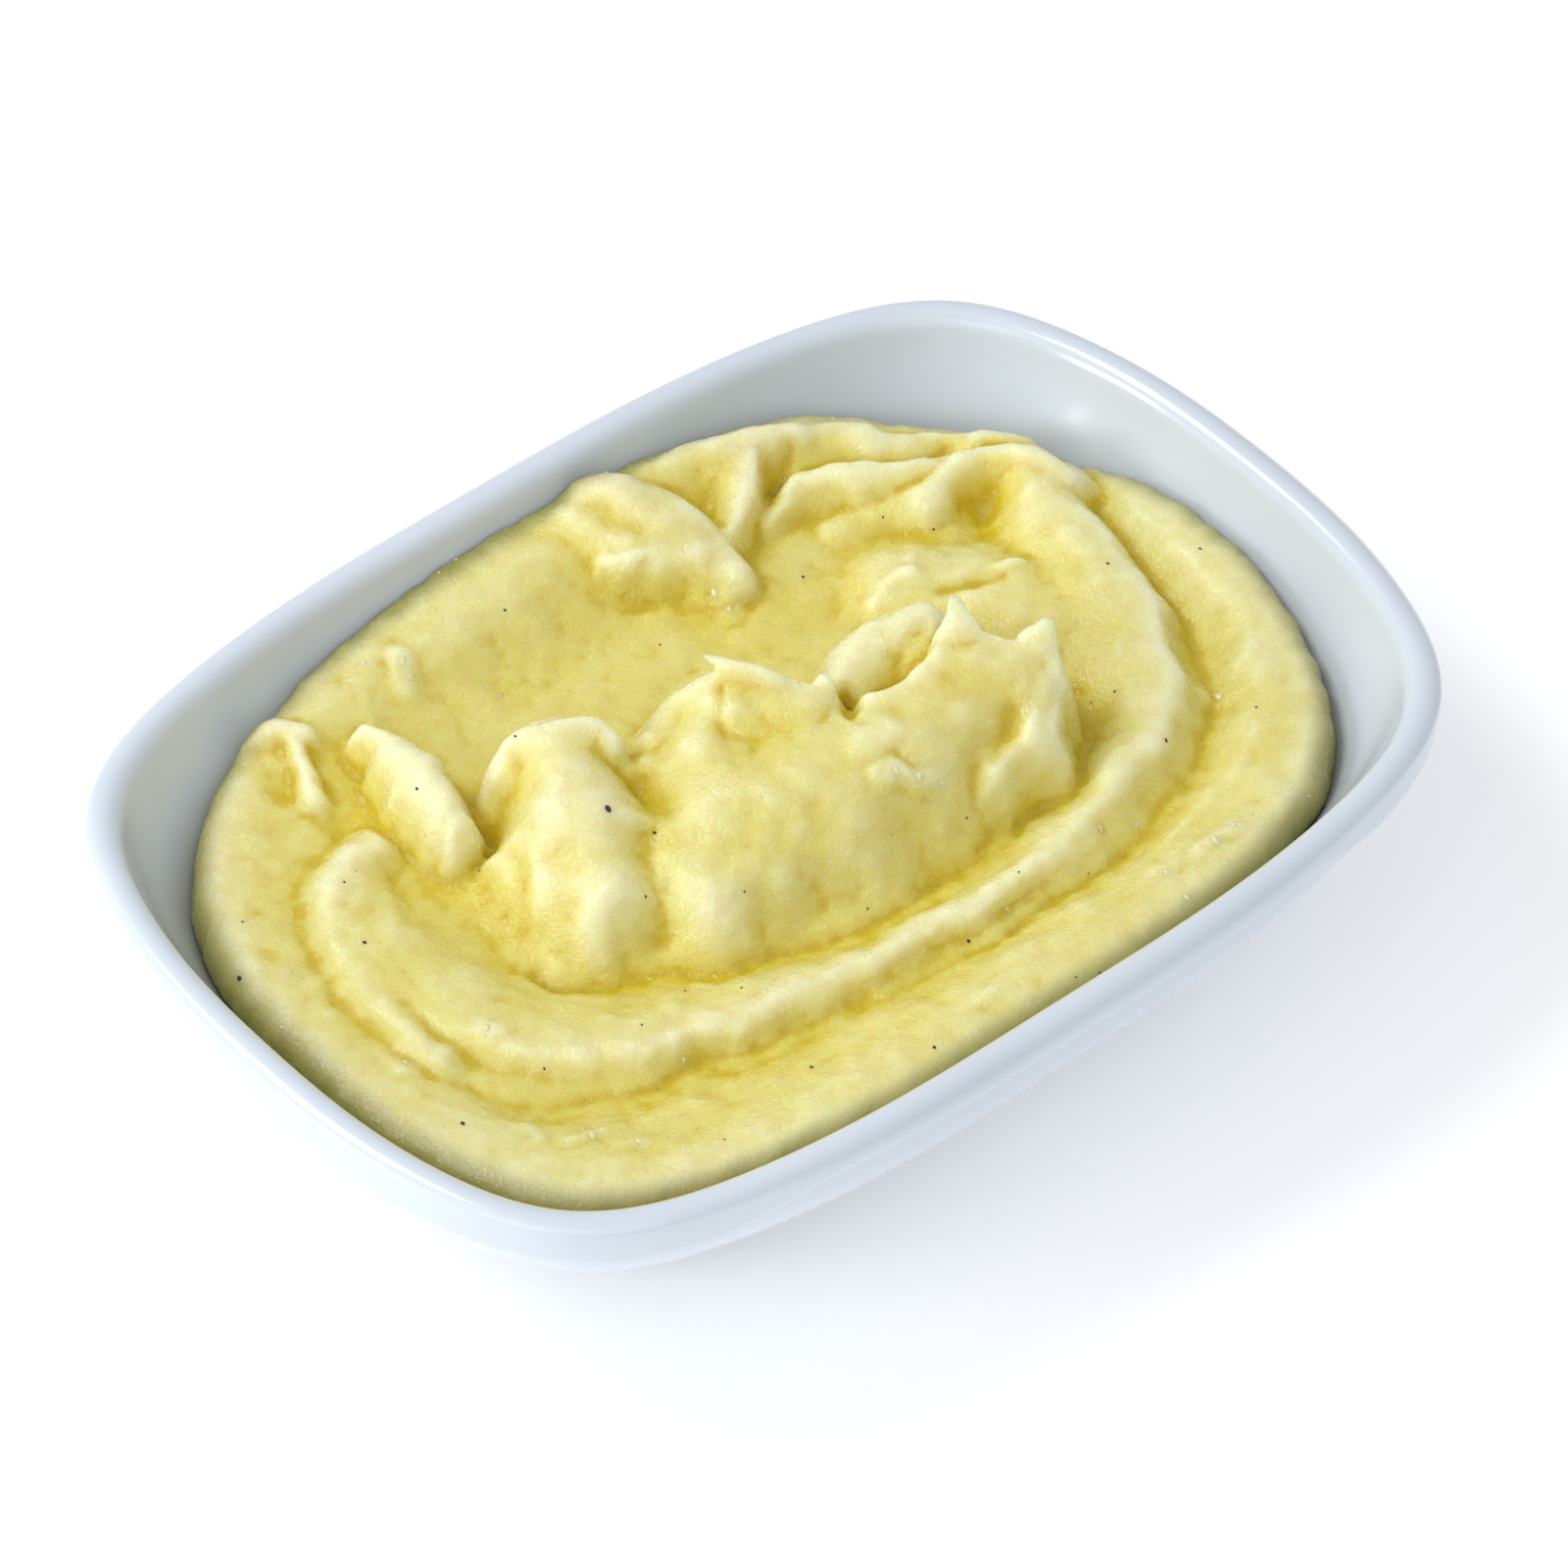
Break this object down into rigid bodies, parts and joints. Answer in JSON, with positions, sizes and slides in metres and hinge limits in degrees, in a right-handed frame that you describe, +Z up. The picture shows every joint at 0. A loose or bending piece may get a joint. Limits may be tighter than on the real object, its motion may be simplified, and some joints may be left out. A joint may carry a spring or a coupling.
{
  "type": "mashed potato side",
  "caption": "Side portion of mashed potato swirled into a rounded-rectangle glazed porcelain dish with a flared wall and a foot ring.",
  "frame": {"origin": "centre of the foot on the resting plane", "axes": "+X along the dish's long side, +Y along its short side, +Z up"},
  "size_m": [0.165, 0.1194, 0.0432],
  "materials": {
    "porcelain": "smooth white porcelain glaze, glossy",
    "potato": "soft moist mashed potato, pale yellow, slightly translucent"
  },
  "bodies": {
    "root": {"dish": "porcelain", "mashed_potato": "potato"}
  },
  "joints": []
}
